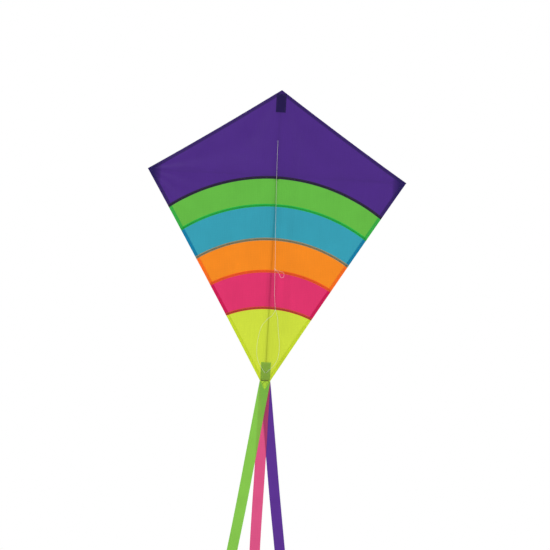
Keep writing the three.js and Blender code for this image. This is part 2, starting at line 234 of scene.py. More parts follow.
class Nodes:
    """A short way to write the node tree of a material or a world."""

    def __init__(self, owner, output="ShaderNodeOutputMaterial"):
        owner.use_nodes = True
        self.owner = owner
        self.output = output
        self.tree = owner.node_tree
        self.tree.nodes.clear()

    def add(self, kind, values=None, **settings):
        node = self.tree.nodes.new(kind)
        for key, value in settings.items():
            setattr(node, key, value)
        for key, value in (values or {}).items():
            if isinstance(value, bpy.types.NodeSocket):
                self.tree.links.new(value, node.inputs[key])
            else:
                node.inputs[key].default_value = value
        return node

    def math(self, operation, *values):
        return self.add("ShaderNodeMath", dict(enumerate(values)), operation=operation).outputs[0]

    def plus(self, first, second):
        return self.math("ADD", first, second)

    def minus(self, first, second):
        return self.math("SUBTRACT", first, second)

    def times(self, first, second):
        return self.math("MULTIPLY", first, second)

    def place(self):
        """A point's place on its own object, in metres."""
        return self.add("ShaderNodeTexCoord").outputs["Object"]

    def size(self, value):
        return self.math("ABSOLUTE", value)

    def scaled(self, vector, factors):
        return self.add("ShaderNodeVectorMath", {0: vector, 1: factors}, operation="MULTIPLY").outputs[0]

    def mix(self, share, first, second, blend="MIX"):
        node = self.add("ShaderNodeMix", {0: share, 6: first, 7: second}, data_type="RGBA", blend_type=blend)
        return node.outputs[2]

    def noise(self, vector, scale, detail=3.0, rough=0.5):
        values = {"Vector": vector, "Scale": scale, "Detail": detail, "Roughness": rough}
        return self.add("ShaderNodeTexNoise", values).outputs["Fac"]

    def remap(self, value, low, high, out_low, out_high):
        values = {0: value, 1: low, 2: high, 3: out_low, 4: out_high}
        return self.add("ShaderNodeMapRange", values).outputs[0]

    def rises(self, value, place, soft=0.3):
        """A mask that goes from 0 to 1 where a value in millimetres passes a place in metres."""
        return self.remap(value, place / MM - soft, place / MM + soft, 0.0, 1.0)

    def falls(self, value, place, soft=0.3):
        """A mask that goes from 1 to 0 there."""
        return self.remap(value, place / MM - soft, place / MM + soft, 1.0, 0.0)

    def bump(self, height, strength, distance):
        values = {"Height": height, "Strength": strength, "Distance": distance}
        return self.add("ShaderNodeBump", values).outputs[0]

    def surface(self, colour, roughness, **more):
        """The usual shader. More has its other inputs, with _ for each space in their names."""
        values = {"Base Color": colour, "Roughness": roughness}
        values.update({key.replace("_", " "): value for key, value in more.items()})
        return self.add("ShaderNodeBsdfPrincipled", values).outputs[0]

    def finish(self, shader):
        self.add(self.output, {"Surface": shader})
        return self.owner


# ---- Materials ----
def material_nodes(name):
    return Nodes(bpy.data.materials.new(name))


def flat_masks(n, x, z, index):
    """Masks for one band's doubled cloth: its hems, the seam below it and the seam above it, and the
    row of sewing along the seam below it, where the cloth gets painted shade of its pucker."""
    def past(value, offset):
        return n.minus(value, offset / MM)

    def inside(inward):
        return n.plus(n.times(past(x, HALF_SPAN), inward.x), n.times(z, inward.y))

    def past_seam(seam):
        centre, radius = SEAMS[seam]
        seen = n.math("DIVIDE", x, SEAM_STRETCH)
        squares = n.plus(n.math("POWER", seen, 2.0), n.math("POWER", past(z, drop(centre)), 2.0))
        return past(n.math("POWER", squares, 0.5), radius)

    x = n.size(x)
    hem = n.falls(n.math("MINIMUM", inside(LEADING_IN), inside(TRAILING_IN)), HEM)
    below, above, row = 0.0, 0.0, 0.0
    if index < len(SEAMS):
        away = past_seam(index)
        below = n.falls(away, OVERLAP)
        row = n.remap(n.size(past(away, SEWN_ROW)), 0.7, 1.3, 1.0, 0.0)
    if index:
        above = n.rises(past_seam(index - 1), 0.0)
    return hem, below, above, row


def pocket_mask(n, x, z, node):
    """A mask for the part of the cloth that a pocket on the spine is sewn to."""
    low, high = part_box(node)
    across = n.falls(n.size(x), (high.x - low.x) / 2)
    return n.times(across, n.times(n.rises(z, low.z), n.falls(z, high.z)))


def fold_strip_shade(n, x):
    """A mask for the strips between the packing folds, which get painted shade."""
    strips = []
    for start, end in (PACKING_FOLDS[1:3], (PACKING_FOLDS[2] + 18 * MM, PACKING_FOLDS[3])):
        strips.append(n.times(n.rises(x, start, 1), n.falls(x, end, 1)))
    return n.plus(strips[0], n.times(strips[1], 0.6))


def band_tone(n, x, z, index, masks):
    """A band's colour, and its tones where other layers of cloth lie behind it: the layers are real,
    and the darker, deeper tones there are painted shade of the light from behind that they hold back.
    """
    band = BANDS[index]
    hem, below, above, _ = masks
    tone = n.mix(hem, linear(CLOTH_COLOURS[band]), linear(HEM_SHADES[band]))
    if index < len(SEAMS):
        tone = n.mix(below, tone, linear(SEAM_OVERLAP_SHADES[index]))
    if index:
        tone = n.mix(above, tone, linear(SEAM_OVERLAP_SHADES[index - 1]))
    if band in POCKET_SHADES_BEHIND:
        node, both = POCKET_SHADES_BEHIND[band]
        tone = n.mix(pocket_mask(n, x, z, node), tone, linear(both))
    if index == 0:
        # Painted shade over the tip pocket, which holds back the light from behind.
        corner = n.remap(n.size(x), TIP_POCKET_IN / MM - 4, TIP_POCKET_IN / MM + 20, 0.0, 0.9)
        tone = n.mix(corner, tone, linear(TIP_CORNER_SHADE))
    return tone


def ripstop(name, colour, see_through=0.06, pass_light=0.5, rough=0.5, index=None):
    """Coated ripstop nylon: a fine plain weave with a heavier thread every few millimetres. It
    lets light through. The cloth of a band has the band's index. The last band's point is folded
    double and lets little light through."""
    n = material_nodes(name)
    cut = n.add("ShaderNodeAttribute", attribute_name="cut").outputs["Vector"]
    parts = n.add("ShaderNodeSeparateXYZ", {0: cut})
    x, z = parts.outputs[0], parts.outputs[1]

    heavy = [n.remap(n.math("PINGPONG", value, 2.5), 0.0, 0.42, 1.0, 0.0) for value in (x, z)]
    grid = n.math("MAXIMUM", *heavy)
    weave = n.times(n.math("SINE", n.times(x, 11.0)), n.math("SINE", n.times(z, 11.0)))
    clouds = n.noise(cut, 0.012, 2.0)
    streaks = n.noise(n.scaled(cut, (1.0, 0.04, 1.0)), 0.30, 2.0)
    folds = n.noise(cut, 0.030, 2.0)
    crease = n.remap(n.size(n.minus(folds, 0.5)), 0.0, 0.006, 1.0, 0.0)
    crease = n.times(crease, n.remap(clouds, 0.45, 0.6, 0.0, 1.0))

    base = linear(colour)
    tone = base
    vary = n.plus(n.remap(clouds, 0.3, 0.7, 0.96, 1.03), n.remap(streaks, 0.3, 0.7, -0.02, 0.02))
    vary = n.minus(vary, n.times(grid, 0.10))
    if index is not None:
        masks = flat_masks(n, x, z, index)
        tone = band_tone(n, x, z, index, masks)
        # Painted shade on the strips between the packing folds.
        vary = n.minus(vary, n.times(fold_strip_shade(n, x), FOLD_STRIP_SHADE[index]))
        if index < len(SEAMS):
            # The sewn row is darker: partly its needle holes and thread, and partly painted shade of the
            # puckered cloth.
            deep = SEWN_SHADE[index]
            pucker_shade = n.remap(n.math("PINGPONG", x, 3.0), 0.6, 2.4, 0.45 * deep, deep)
            vary = n.times(vary, n.minus(1.0, n.times(masks[-1], pucker_shade)))
        else:
            folded = n.falls(z, TAIL_SEW_Z, 0.4)
            tone = n.mix(folded, tone, linear(TAIL_POINT))
            pass_light = n.remap(folded, 0.0, 1.0, pass_light, 0.08)
    vary = n.plus(vary, n.times(crease, 0.07))
    scale = n.add("ShaderNodeCombineXYZ", {0: vary, 1: vary, 2: vary}).outputs[0]
    shade = n.mix(1.0, tone, scale, "MULTIPLY")

    relief = n.plus(n.times(grid, 0.55), n.times(weave, 0.12))
    relief = n.plus(relief, n.times(folds, 1.8))
    relief = n.plus(relief, n.times(crease, 0.3))
    bump = n.bump(relief, 0.5, 0.2 * MM)
    cloth = n.surface(shade, n.remap(clouds, 0.3, 0.7, rough - 0.06, rough + 0.08), Normal=bump,
                      Specular_IOR_Level=0.22, Sheen_Weight=0.04, Sheen_Roughness=0.4)
    glow = n.add("ShaderNodeBsdfTranslucent", {"Color": shade, "Normal": bump}).outputs[0]
    solid = n.add("ShaderNodeMixShader", {0: pass_light, 1: cloth, 2: glow}).outputs[0]
    if not see_through:
        return n.finish(solid)
    clear = n.add("ShaderNodeBsdfTransparent", {"Color": shaded(base, 1.0, 0.05)}).outputs[0]
    return n.finish(n.add("ShaderNodeMixShader", {0: see_through, 1: solid, 2: clear}).outputs[0])


def thread(name, colour, twist=6.0):
    """Sewing thread or cord: plies twisted round the length, with a little fuzz. Twist is how
    fast the plies turn, in radians for each millimetre."""
    n = material_nodes(name)
    place = n.place()
    parts = n.add("ShaderNodeSeparateXYZ", {0: place})
    slant = n.plus(parts.outputs[2], n.times(parts.outputs[0], 0.9))
    plies = n.math("SINE", n.times(slant, twist / MM))
    fuzz = n.noise(place, 900.0, 3.0)
    base = linear(colour)
    shade = n.mix(n.remap(plies, -1.0, 1.0, 0.0, 0.5), base, shaded(base, 0.6))
    shade = n.mix(n.times(fuzz, 0.25), shade, shaded(base, 1.25, 0.02))
    bump = n.bump(n.plus(plies, n.times(fuzz, 0.5)), 0.6, 0.1 * MM)
    return n.finish(n.surface(shade, n.remap(fuzz, 0.3, 0.7, 0.6, 0.85), Normal=bump,
                              Sheen_Weight=0.25, Specular_IOR_Level=0.3))


def fibreglass(name):
    """A pultruded rod: glossy black resin over fine glass fibres that run along it."""
    n = material_nodes(name)
    place = n.place()
    fibres = n.noise(n.scaled(place, (2600.0, 2600.0, 14.0)), 1.0, 4.0, 0.6)
    scuffs = n.noise(place, 160.0, 5.0, 0.65)
    shade = n.mix(n.remap(fibres, 0.35, 0.7, 0.0, 1.0), linear("#101013"), linear("#34343a"))
    shade = n.mix(n.remap(scuffs, 0.58, 0.72, 0.0, 0.5), shade, linear("#5a5a60"))
    bump = n.bump(fibres, 0.25, 0.05 * MM)
    return n.finish(n.surface(shade, n.remap(scuffs, 0.3, 0.75, 0.24, 0.5), Normal=bump,
                              Coat_Weight=0.35, Coat_Roughness=0.15))


def vinyl(name, colour="#1d1d20"):
    """Soft moulded PVC with an eggshell skin, rubbed paler where it is handled."""
    n = material_nodes(name)
    place = n.place()
    skin = n.noise(place, 1800.0, 3.0)
    rubs = n.noise(place, 220.0, 5.0, 0.6)
    edges = n.add("ShaderNodeNewGeometry").outputs["Pointiness"]
    base = linear(colour)
    shade = n.mix(n.remap(rubs, 0.4, 0.75, 0.0, 0.6), base, shaded(base, 1.9, 0.006))
    shade = n.mix(n.remap(edges, 0.52, 0.6, 0.0, 0.5), shade, linear("#4c4c52"))
    bump = n.bump(n.plus(n.times(skin, 0.5), rubs), 0.3, 0.1 * MM)
    return n.finish(n.surface(shade, n.remap(rubs, 0.3, 0.7, 0.42, 0.6), Normal=bump,
                              Specular_IOR_Level=0.45))


CLOTH_COLOURS = {
    "purple": "#45207d", "green": "#60b43f", "blue": "#2f99af",
    "orange": "#f18615", "pink": "#db2d68", "yellow": "#c9da37",
}
# The hems' tones: the folded layers are real, and their darker, deeper tone is painted shade of the light
# from behind that they hold back.
HEM_SHADES = {
    "purple": "#321467", "green": "#46c456", "blue": "#0898be",
    "orange": "#f8861e", "pink": "#de1b6c", "yellow": "#dae73a",
}
THREAD_COLOURS = {
    "purple": "#2c1760", "green": "#2f9a45", "blue": "#1c7f95",
    "orange": "#c9611a", "pink": "#a81c46", "yellow": "#a8b32c",
}
# The seams, from the top: the tone where two bands overlap, which is painted shade of the light from
# behind that the second layer holds back; the sewing in front; and how dark the sewing's row is, partly
# its needle holes and thread and partly painted shade of the puckered cloth.
SEAM_OVERLAP_SHADES = ("#281b40", "#2fd05a", "#b0a988", "#f66e28", "#df5b46")
SEAM_THREAD_COLOURS = ("#150e22", "#12682f", "#2e312d", "#c9541f", "#7c2024")
SEWN_SHADE = (0.5, 0.42, 0.5, 0.1, 0.35)
FOLD_STRIP_SHADE = (0.015, 0.02, 0.045, 0.015, 0.085, 0.02)  # how dark the painted shade on each band's strips between the packing folds is
# How much light each band's cloth passes on, and how much of it is clear.
PASSES = {"purple": 0.22, "green": 0.5, "blue": 0.5, "orange": 0.5, "pink": 0.5, "yellow": 0.5}
SHEER = {"purple": 0.0, "green": 0.06, "blue": 0.08, "orange": 0.06, "pink": 0.07, "yellow": 0.12}
# The pockets that are sewn behind a band, and the tone of the two layers together, which is painted
# shade of the light from behind that the pocket holds back.
POCKET_SHADES_BEHIND = {"purple": ("nose_pocket", "#18004b"), "yellow": ("tail_pocket", "#b0dc55")}
# The purple's tone over the tip pockets: painted shade of the light from behind that the pocket holds back.
TIP_CORNER_SHADE = "#1a0058"
TAIL_POINT = "#b6e53c"
# Each ribbon's colour, how much of it is clear and how much light it passes on.
RIBBON_LOOKS = {
    "green": ("#80c046", 0.02, 0.22),
    "pink": ("#d94f82", 0.10, 0.5),
    "purple": ("#562a8c", 0.02, 0.3),
}

CLOTHS = {}
for number, band_name in enumerate(BANDS):
    CLOTHS[band_name] = ripstop(f"{band_name}_ripstop", CLOTH_COLOURS[band_name], SHEER[band_name],
                                PASSES[band_name], index=number)
RIBBONS = {key: ripstop(f"{key}_ribbon_nylon", *looks) for key, looks in RIBBON_LOOKS.items()}
THREADS = {key: thread(f"{key}_thread", colour) for key, colour in THREAD_COLOURS.items()}
SEAM_THREADS = [thread(f"seam_thread_{k}", colour) for k, colour in enumerate(SEAM_THREAD_COLOURS)]
TACK_THREAD = thread("tack_thread", "#33521c")
POCKET_CLOTH = ripstop("purple_pocket_cloth", "#22124a", 0.0, 0.25, rough=0.62)
TAIL_POCKET_CLOTH = ripstop("green_pocket_cloth", "#2f9a3c", 0.0, 0.35, rough=0.6)
CORD = thread("bridle_cord", "#dcd9d0", 2.2)
ROD = fibreglass("rod_fibreglass")
VINYL = vinyl("connector_vinyl")
CAP_VINYL = vinyl("cap_vinyl", "#161618")


# ---- The sail's surface ----
def seam_height(seam, radius, across):
    centre, _ = SEAMS[seam]
    return drop(centre) + np.sqrt(radius ** 2 - (across / SEAM_STRETCH) ** 2)


def past_seam(seam, across, height):
    """How far above a seam's lower edge places on the flat cloth are."""
    centre, radius = SEAMS[seam]
    return np.hypot(across / SEAM_STRETCH, height - drop(centre)) - radius


def seam_reach(seam, radius):
    """How far across the cloth a seam's arc reaches before it meets the trailing edge."""
    slope = -TAIL_Z * SEAM_STRETCH / HALF_SPAN
    below = TAIL_Z - drop(SEAMS[seam][0])
    a = 1 + slope ** 2
    b = slope * below
    c = below ** 2 - radius ** 2
    return SEAM_STRETCH * (-b + math.sqrt(b ** 2 - a * c)) / a


def edge_distances(across, height):
    """Distances in from the straight leading and trailing edges, of points on the flat cloth."""
    leading = LEADING_IN.x * (across - HALF_SPAN) + LEADING_IN.y * height
    trailing = TRAILING_IN.x * (across - HALF_SPAN) + TRAILING_IN.y * height
    return leading, trailing


def hollow_edges(across, height):
    """Draws the edges in a little between the corners, as cloth under tension pulls."""
    leading, trailing = edge_distances(across, height)
    share = np.clip(across / HALF_SPAN, 0, 1)
    bow = 4 * share * (1 - share) * EDGE_HOLLOW
    pull_leading = bow * np.exp(-np.maximum(leading, 0) / 0.06)
    pull_trailing = bow * np.exp(-np.maximum(trailing, 0) / 0.06)
    return (across + LEADING_IN.x * pull_leading + TRAILING_IN.x * pull_trailing,
            height + LEADING_IN.y * pull_leading + TRAILING_IN.y * pull_trailing)


def smooth_noise(across, height, scale, seed):
    values = [noise.noise(Vector((x / scale, z / scale, seed))) for x, z in zip(across, height)]
    return np.array(values)


def tension_folds(across, height, corner, reach, count, size, phase):
    """Shallow folds that fan out from a corner where the cloth is pulled."""
    dx, dz = across - corner[0], height - corner[1]
    radius = np.hypot(dx, dz)
    angle = np.arctan2(dz, dx)
    swell = (radius / reach) * np.exp(1 - radius / reach)
    return size * swell * np.sin(count * angle + phase + 0.7 * np.sin(2.3 * angle + phase))


def relief(across, height, side):
    """How far the cloth stands forward of its flat plane."""
    leading, trailing = edge_distances(across, height)
    rim = np.minimum(leading, trailing)
    seed = 3.0 + side
    free = smoothstep(HINGE_X, 0.09, across) * smoothstep(0.0, 0.07, np.abs(height))
    lift = -2.6 * MM * free * smoothstep(0.0, 0.09, rim)
    lift += 1.5 * MM * smooth_noise(across, height, 0.085, seed) * smoothstep(HINGE_X, 0.06, across)
    lift += 0.5 * MM * smooth_noise(across, height, 0.030, seed + 5) * smoothstep(0.004, 0.04, across)
    calm = smoothstep(0.008, 0.05, across)
    fans = (
        ((HALF_SPAN, 0.0), 0.075, 15, 0.75 * MM, 0.4 + side),
        ((0.0, NOSE_Z), 0.09, 13, 0.55 * MM, 1.3 * side),
        ((0.0, TAIL_Z), 0.12, 17, 0.5 * MM, 2.0 + side),
    )
    for fan in fans:
        lift += calm * tension_folds(across, height, *fan)
    hem = np.exp(-(np.maximum(rim - 0.008, 0) / 0.010) ** 2)
    along = np.where(leading < trailing, across, height)
    ripple = np.sin(along / 0.0021 + 3.0 * smooth_noise(across, height, 0.05, seed + 9))
    lift += 0.28 * MM * hem * ripple * smoothstep(0.01, 0.04, across)
    for seam in range(len(SEAMS)):
        pucker = np.exp(-(past_seam(seam, across, height) / 0.011) ** 2)
        wave = np.sin(across / 0.0019 + seam + 2.5 * smooth_noise(across, height, 0.04, seed + seam))
        lift += pucker * (0.24 * MM * wave + 0.18 * MM) * smoothstep(0.004, 0.03, across)
    for place in PACKING_FOLDS:
        if place * side < 0:
            continue
        crease = np.exp(-((across - abs(place) - 0.6 * MM * np.sin(height / 0.05)) / (1.6 * MM)) ** 2)
        lift += 0.34 * MM * crease
    return lift


def on_sail(across, height, side, lift=0.0):
    """Points of the sail, in the row frame, for places on one half of the flat cloth."""
    across = np.atleast_1d(np.asarray(across, float))
    height = np.broadcast_to(np.asarray(height, float), across.shape)
    forward = lift + relief(across, height, side)
    x, z = hollow_edges(across, height)
    past = x - HINGE_X
    softened = np.sqrt(past ** 2 + FOLD_SOFT ** 2)
    bent = (past + softened) / 2
    angle = DIHEDRAL * (1 + past / softened) / 2
    out = x - (1 - math.cos(DIHEDRAL)) * bent + forward * np.sin(angle)
    back = CLOTH_Y + math.sin(DIHEDRAL) * bent - forward * np.cos(angle)
    return np.column_stack([side * out, back, z])


# ---- Sail pieces ----
def hinge_blend(piece):
    """Bakes a soft piece's placing into its mesh."""
    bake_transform(piece)


def band_grid(index, pitch=4.2 * MM):
    """Places on the flat cloth that fill one half of a band, as rows and columns."""
    last = index == len(BANDS) - 1
    if index:
        radius = SEAMS[index - 1][1] + OVERLAP
        top_reach = seam_reach(index - 1, radius)
    else:
        top_reach = HALF_SPAN
    bottom_reach = 0.0 if last else seam_reach(index, SEAMS[index][1])
    columns = round(top_reach / pitch) + 1
    share = np.linspace(0, 1, columns)
    top_x = share * top_reach
    top_z = seam_height(index - 1, radius, top_x) if index else NOSE_Z * (1 - share)
    bottom_x = share * bottom_reach
    if last:
        bottom_z = np.full(columns, TAIL_Z)
    else:
        bottom_z = seam_height(index, SEAMS[index][1], bottom_x)
    rows = round((top_z[0] - bottom_z[0]) / pitch) + 1
    t = np.linspace(0, 1, rows)[:, None]
    across = (1 - t) * top_x + t * bottom_x
    height = (1 - t) * top_z + t * bottom_z
    return across, height


def tucked(index, across, height):
    """A band's top edge lies just behind the band above it."""
    if not index:
        return np.zeros_like(across)
    return -0.45 * MM * smoothstep(-3 * MM, 0.0, past_seam(index - 1, across, height))


def make_band(index, name):
    band = BANDS[index]
    across, height = band_grid(index)
    rows, columns = across.shape
    x, z = across.ravel(), height.ravel()
    points = on_sail(x, z, SIDES[name], tucked(index, x, z))
    faces = grid_faces(rows, columns)
    if SIDES[name] < 0:
        faces = [face[::-1] for face in faces]
    cut = np.column_stack([SIDES[name] * x, z])
    piece = add_mesh(f"{name}_{band}_cloth", points, faces, CLOTHS[band], cut)
    merge_close(piece)
    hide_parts(f"{name}_{band}_panel", f"centre_{band}_panel")
    hinge_blend(piece)


def edge_place(edge, across, inset):
    """Places a distance in from a straight edge of the flat cloth."""
    across = np.asarray(across, float)
    if edge == "leading":
        height, inward = NOSE_Z * (1 - across / HALF_SPAN), LEADING_IN
    else:
        height, inward = TAIL_Z * (1 - across / HALF_SPAN), TRAILING_IN
    return across + inward.x * inset, height + inward.y * inset


def band_edges(index):
    """The free edges of one half of a band: (edge, from, to), as distances across."""
    outer = HALF_SPAN if index == 0 else seam_reach(index - 1, SEAMS[index - 1][1])
    inner = 0.0 if index == len(BANDS) - 1 else seam_reach(index, SEAMS[index][1])
    edges = [("trailing", inner, outer)]
    if index == 0:
        edges.append(("leading", 0.0, HALF_SPAN))
    return edges


# The section of a hem: how far in from the edge, as a share of its width, and the lift in mm.
HEM_SECTION = ((1.00, -0.32), (0.97, -0.62), (0.6, -0.72), (0.25, -0.78), (0.04, -0.70), (0.0, -0.35),
               (0.0, 0.0), (0.03, 0.12))


def make_hem(index, name):
    """The band's edge turned over twice to the back and sewn down."""
    band = BANDS[index]
    side = SIDES[name]
    points, faces, cut = [], [], []
    for edge, inner, outer in band_edges(index):
        steps = max(4, round((outer - inner) / (4 * MM)))
        behind = 0.12 if edge == "trailing" else 0.0
        inward = abs((TRAILING_IN if edge == "trailing" else LEADING_IN).x)
        rows = []
        for inset_share, lift in HEM_SECTION:
            inset = inset_share * HEM
            start = inner + (inset * inward if inner == 0 else 0)
            x, z = edge_place(edge, np.linspace(start, outer, steps + 1), inset)
            rows.append((on_sail(x, z, side, (lift - behind) * MM), x, z))
        first = len(points)
        for place, x, z in rows:
            points.extend(place)
            cut.extend(np.column_stack([side * x, z]))
        faces.extend([tuple(first + v for v in face) for face in grid_faces(len(rows), steps + 1)])
    piece = add_mesh(f"{name}_{band}_hem", points, faces, CLOTHS[band], cut)
    hinge_blend(piece)


def make_dashes(name, dashes, side, material, lift=0.16 * MM, radius=0.24 * MM):
    """Stitches: short threads that dive into the cloth at both ends. A dash is its two ends on
    the flat cloth."""
    ends = np.array(dashes, float)
    share = np.array([0.0, 0.12, 0.5, 0.88, 1.0])
    rise = np.array([-0.4, 0.25, 0.6, 0.25, -0.4]) * radius
    thin = np.array([0.35, 0.8, 1.0, 0.8, 0.35]) * radius
    count, rings, sides = len(ends), len(share), 5
    x = ends[:, 0, 0, None] * (1 - share) + ends[:, 1, 0, None] * share
    z = ends[:, 0, 1, None] * (1 - share) + ends[:, 1, 1, None] * share
    lifts = np.broadcast_to(lift + rise * math.copysign(1, lift), x.shape)
    centre = on_sail(x.ravel(), z.ravel(), side, lifts.ravel()).reshape(count, rings, 3)
    run = centre[:, -1] - centre[:, 0]
    run /= np.linalg.norm(run, axis=1)[:, None]
    up = np.array([0.0, -1.0, 0.0])
    across = np.cross(run, up)
    across /= np.linalg.norm(across, axis=1)[:, None]
    normal = np.cross(across, run)
    angles = 2 * math.pi * np.arange(sides) / sides
    spread = (np.cos(angles)[None, :, None] * across[:, None]
              + np.sin(angles)[None, :, None] * normal[:, None])
    points = centre[:, :, None] + spread[:, None] * thin[None, :, None, None]
    points = points.reshape(-1, 3)
    ring = grid_faces(rings, sides, closed=True)
    ring.append(tuple(range(sides)))
    ring.append(tuple(range(rings * sides - 1, (rings - 1) * sides - 1, -1)))
    faces = []
    for i in range(count):
        base = i * rings * sides
        faces.extend(tuple(base + v for v in face) for face in ring)
    return add_mesh(name, points, faces, material)


def along_path(x, z, distances):
    """Places at some distances along a path on the flat cloth."""
    lengths = np.concatenate([[0], np.cumsum(np.hypot(np.diff(x), np.diff(z)))])
    return np.column_stack([np.interp(distances, lengths, x), np.interp(distances, lengths, z)])


def path_length(x, z):
    return np.hypot(np.diff(x), np.diff(z)).sum()


def walk(x, z, pitch, gap):
    """Splits a path on the flat cloth into stitches of one pitch with a gap between them."""
    starts = np.arange(0.3 * gap, path_length(x, z) - pitch, pitch)
    stops = starts + pitch - gap
    return list(zip(along_path(x, z, starts), along_path(x, z, stops)))


def zigzag(x, z, pitch, width):
    """Zigzag stitches along a path on the flat cloth."""
    middle = along_path(x, z, np.arange(0.0, path_length(x, z), pitch / 2))
    run = np.gradient(middle, axis=0)
    run /= np.hypot(run[:, 0], run[:, 1])[:, None]
    sway = np.where(np.arange(len(middle)) % 2 == 0, 0.5, -0.5) * width
    points = middle + np.column_stack([-run[:, 1], run[:, 0]]) * sway[:, None]
    return [(a + 0.06 * (b - a), b - 0.06 * (b - a)) for a, b in zip(points[:-1], points[1:])]


def make_stitches(index, name):
    """The sewing of one half of a band: a row along each hem, and zigzags along the seam below."""
    band = BANDS[index]
    side = SIDES[name]
    hems, seams = [], []
    inset = HEM - 1.6 * MM
    for edge, inner, outer in band_edges(index):
        start = inner + inset if inner == 0 else inner
        hems += walk(*edge_place(edge, np.linspace(start, outer - 2 * MM, 80), inset), 4 * MM, 1.1 * MM)
    if index < len(SEAMS):
        for height in (SEWN_ROW - 1.3 * MM, SEWN_ROW + 1.7 * MM):
            radius = SEAMS[index][1] + height
            x = np.linspace(0, seam_reach(index, radius) - 1 * MM, 90)
            seams += zigzag(x, seam_height(index, radius, x), 4.4 * MM, 1.6 * MM)
    label = f"{name}_{band}"
    pieces = [
        make_dashes(f"{label}_stitches", hems, side, THREADS[band]),
        make_dashes(f"{label}_back_stitches", hems + seams, side, THREADS[band], -0.95 * MM),
    ]
    if seams:
        pieces.append(make_dashes(f"{label}_seam_stitches", seams, side, SEAM_THREADS[index],
                                  radius=0.28 * MM))
    for piece in pieces:
        hinge_blend(piece)


def make_sail():
    for name in SIDES:
        for index in range(len(BANDS)):
            make_band(index, name)
            make_hem(index, name)
            make_stitches(index, name)


# ---- Pockets ----
def bulge(values, half, power=2.6):
    """The height of a round-shouldered arch, from 0 at its feet to 1 at its middle."""
    return np.sqrt(np.clip(1 - np.abs(values / half) ** power, 0, 1))


def make_pocket_cloth(name, points, rows, columns, cloth, cut, slot, body):
    """A pocket's cloth, from a grid of points. It lies flat at its sizes along the surface."""
    piece = add_mesh(name + "_cloth", points, grid_faces(rows, columns), cloth, cut)
    thicken = piece.modifiers.new("thickness", "SOLIDIFY")
    thicken.thickness = POCKET_THICK
    thicken.offset = 0
    rigid(piece, body, slot, name)


def sew_pocket(name, dashes, side, thread_material, slot, body, back_lift):
    """Stitches that show on the front of the sail and on the back of the pocket."""
    for face, lift in (("front", 0.2 * MM), ("back", back_lift)):
        rigid(make_dashes(f"{name}_{face}_sewing", dashes, side, thread_material, lift), body, slot)


def half_dashes(dashes, side):
    """The dashes that lie mostly on one side of the spine, as places on that half of the cloth."""
    here = [dash for dash in np.array(dashes) if (dash[:, 0].sum() > 0) == (side > 0)]
    return [np.column_stack([np.abs(dash[:, 0]), dash[:, 1]]) for dash in here]


def make_spine_pocket(name, closed_end, cloth, thread_material, slot):
    """A strip of cloth sewn over one end of the spine. Its closed end is sewn down flat."""
    box_low, box_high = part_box(name)
    low, high = box_low.z, box_high.z
    half = (box_high.x - box_low.x) / 2 - 0.2 * MM
    columns, ramp = 45, 4 * MM
    shut, inward = (high, -1) if closed_end == "top" else (low, 1)
    steep = np.linspace(0, 2 * ramp, 17)[:-1]
    from_shut = np.concatenate([steep, np.linspace(2 * ramp, high - low, 26)])
    grid_x, grid_z = np.meshgrid(np.linspace(-half, half, columns), shut + inward * from_shut)
    arch = SPAR_DEPTH + SPINE_R + 1.7 * MM
    lift = arch * bulge(grid_x, 6.2 * MM) * smoothstep(0.0, ramp, np.abs(grid_z - shut))
    lift = lift + 0.9 * MM + 0.25 * MM * np.sin(grid_z / 0.0035) * bulge(grid_x, half)
    points = np.column_stack([grid_x.ravel(), (CLOTH_Y + lift).ravel(), grid_z.ravel()])
    cut = np.column_stack([grid_x.ravel() * 1.2, grid_z.ravel()])
    make_pocket_cloth(name, points, len(from_shut), columns, cloth, cut, slot, "frame")

    inset = 2.2 * MM
    edge = half - inset
    end = shut + inward * inset
    down = walk(np.full(30, edge), np.linspace(low + inset, high - inset, 30), *POCKET_STITCH)
    over = walk(np.linspace(-edge, edge, 30), np.full(30, end), *POCKET_STITCH)
    for label, side in SIDES.items():
        dashes = down + half_dashes(over, side)
        sew_pocket(f"{name}_{label}", dashes, side, thread_material, slot, "frame", -1.45 * MM)


def make_tip_pocket(name):
    """A corner of cloth sewn over the spreader's outer end."""
    side = SIDES[name]
    node, body = f"{name}_tip_pocket", f"{name}_wing"
    low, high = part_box(node)
    columns, rows = 22, 40
    t = np.linspace(0, 1, columns)
    x = TIP_POCKET_IN + (HALF_SPAN - 3 * MM - TIP_POCKET_IN) * t
    top = (high.z + 0.5 * MM) * (1 - t) + 0.6 * MM
    bottom = (low.z - 0.5 * MM) * (1 - t) - 0.6 * MM
    s = np.linspace(0, 1, rows)[:, None]
    grid_z = top * (1 - s) + bottom * s
    grid_x = np.broadcast_to(x, grid_z.shape)
    arch = (SPAR_DEPTH + 2.9 * MM) * (1 - smoothstep(0.62, 1.0, t))
    lift = 1.0 * MM + arch * bulge(grid_z, 8 * MM, 2.0)
    points = on_sail(grid_x.ravel(), grid_z.ravel(), side, -lift.ravel())
    cut = np.column_stack([grid_x.ravel(), grid_z.ravel()])
    make_pocket_cloth(node, points, rows, columns, POCKET_CLOTH, cut, "purple_pocket", body)
    inset = 1.8 * MM
    dashes = walk(x[:-4], top[:-4] - inset, *POCKET_STITCH)
    dashes += walk(x[:-4], bottom[:-4] + inset, *POCKET_STITCH)
    sew_pocket(node, dashes, side, THREADS["purple"], "purple_pocket", body, -1.5 * MM)


